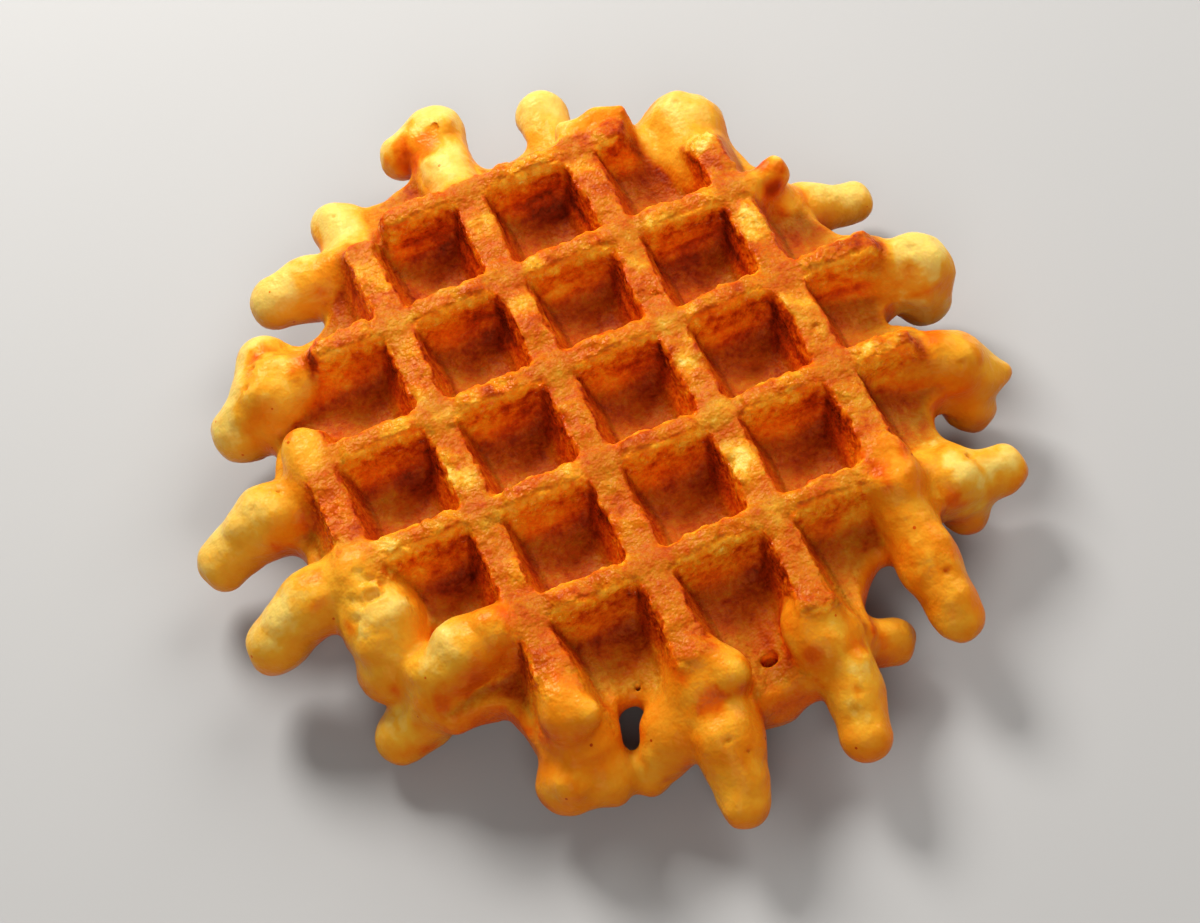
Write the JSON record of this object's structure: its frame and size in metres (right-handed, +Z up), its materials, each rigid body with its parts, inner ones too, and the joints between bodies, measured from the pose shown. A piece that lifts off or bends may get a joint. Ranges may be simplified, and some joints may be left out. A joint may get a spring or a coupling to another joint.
{
  "type": "waffle",
  "caption": "Deep-pocket waffle with an uneven edge of batter lobes, golden brown on the ribs and paler on the lobes, lying flat",
  "frame": {"origin": "on the plane that the lower ribs rest on, under the rib crossing that is nearest the middle of the grid", "axes": "+Z up, out of the face that shows in the picture; +X along the ribs that run to the right and away from the viewer in the picture; +Y along the other ribs, away from the viewer"},
  "size_m": [0.1451, 0.1614, 0.027],
  "materials": {
    "waffle": "baked crust: satin, golden orange-brown where the iron touched it, pale yellow on the free lobes, deeper orange in the pockets"
  },
  "bodies": {
    "root": {"waffle": "waffle"}
  },
  "joints": []
}
